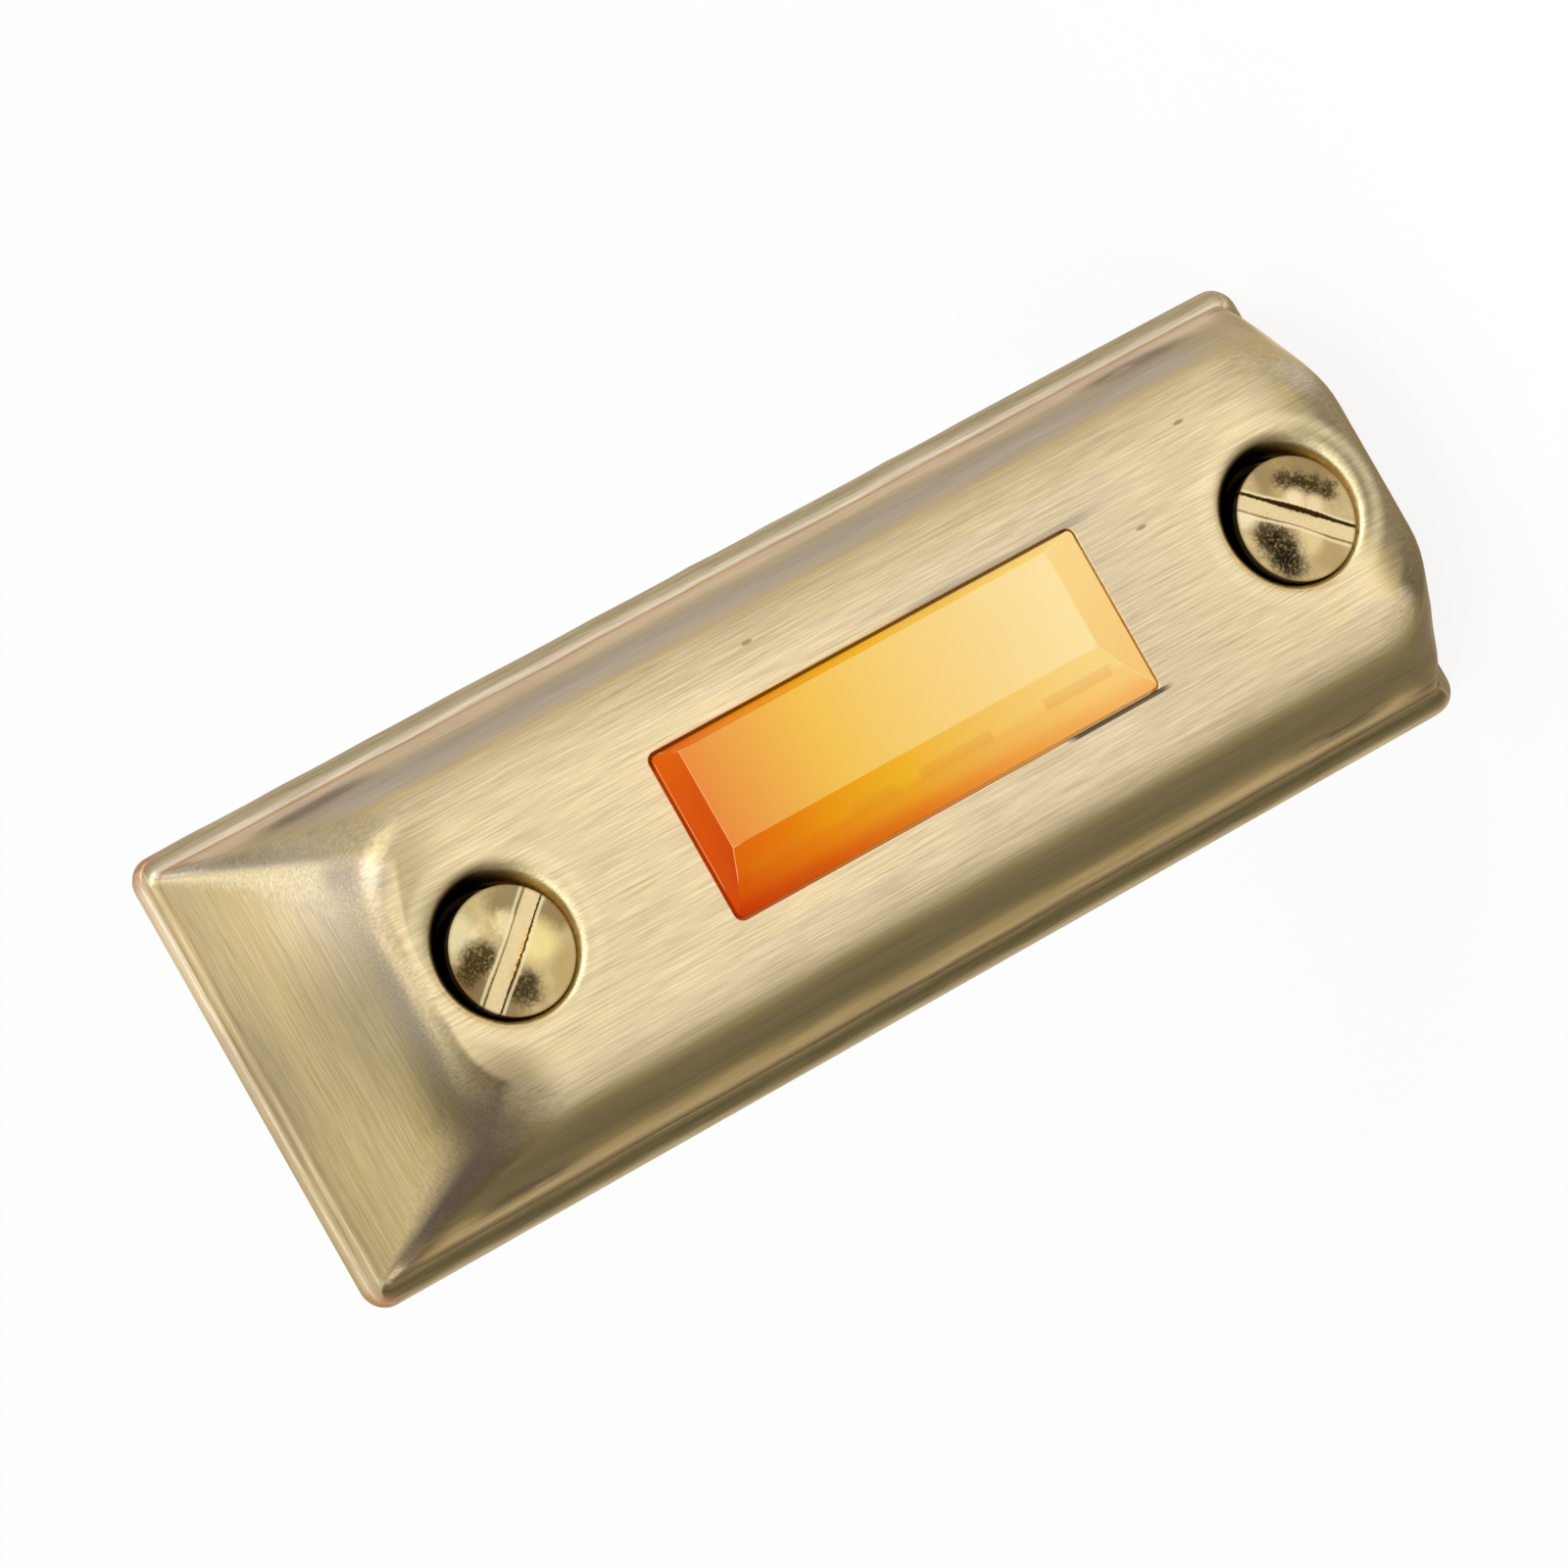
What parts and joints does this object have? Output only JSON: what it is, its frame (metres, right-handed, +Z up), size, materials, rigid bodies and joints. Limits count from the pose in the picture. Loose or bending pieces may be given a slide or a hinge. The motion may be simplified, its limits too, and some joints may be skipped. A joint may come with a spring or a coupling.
{
  "type": "doorbell push button",
  "caption": "Surface-mounted lighted doorbell push: oblong pressed antique-brass cover, amber push bar, slotted screws in wells, wiring bay behind",
  "frame": {"origin": "middle of the cover's rim, on the wall plane", "axes": "+Z up along the plate's length, -Y out of the wall towards the person, +X across to the right seen from the front, +Y into the wall"},
  "size_m": [0.0254, 0.0289, 0.07],
  "materials": {
    "antique_brass": "pressed sheet brass, brushed and toned to antique, darker along its ends and folds",
    "polished_brass": "polished brass with tarnish patches",
    "amber_plastic": "translucent amber moulding, glossy",
    "black_plastic": "black moulding, fine matt",
    "contact_brass": "bright spring brass",
    "silver": "bright silver contact",
    "spring_steel": "drawn spring wire",
    "terminal_steel": "zinc-plated steel",
    "board": "laminated paper board",
    "lamp_lens": "clear tinted lamp lens",
    "resistor_body": "coated resistor body",
    "diode_body": "glassy diode body",
    "tinned_wire": "tinned wire"
  },
  "bodies": {
    "housing": {"cover": "antique_brass", "mounting_screw_upper": "polished_brass", "mounting_screw_lower": "polished_brass", "base": "black_plastic", "circuit_board": "board", "resistor": "resistor_body", "diode": "diode_body", "contact_strip_upper": "contact_brass", "contact_strip_lower": "contact_brass", "contact_point_upper": "silver", "contact_point_lower": "silver", "terminal_bush_upper": "contact_brass", "terminal_bush_lower": "contact_brass", "terminal_washer_upper": "terminal_steel", "terminal_washer_lower": "terminal_steel", "terminal_screw_upper": "terminal_steel", "terminal_screw_lower": "terminal_steel", "return_spring_upper": "spring_steel", "return_spring_lower": "spring_steel", "lamp_upper": "lamp_lens", "lamp_lower": "lamp_lens", "jumper_upper": "tinned_wire", "jumper_lower": "tinned_wire"},
    "button": {"push_button": "amber_plastic", "contact_bridge": "contact_brass"}
  },
  "joints": [
    {"name": "button_press", "type": "slide", "parent": "housing", "child": "button", "axis": [0, 1, 0], "range_m": [0, 0.001], "stiffness_N_per_m": 500, "springref_m": -0.0015, "deforming": ["return_spring_upper", "return_spring_lower"]}
  ]
}
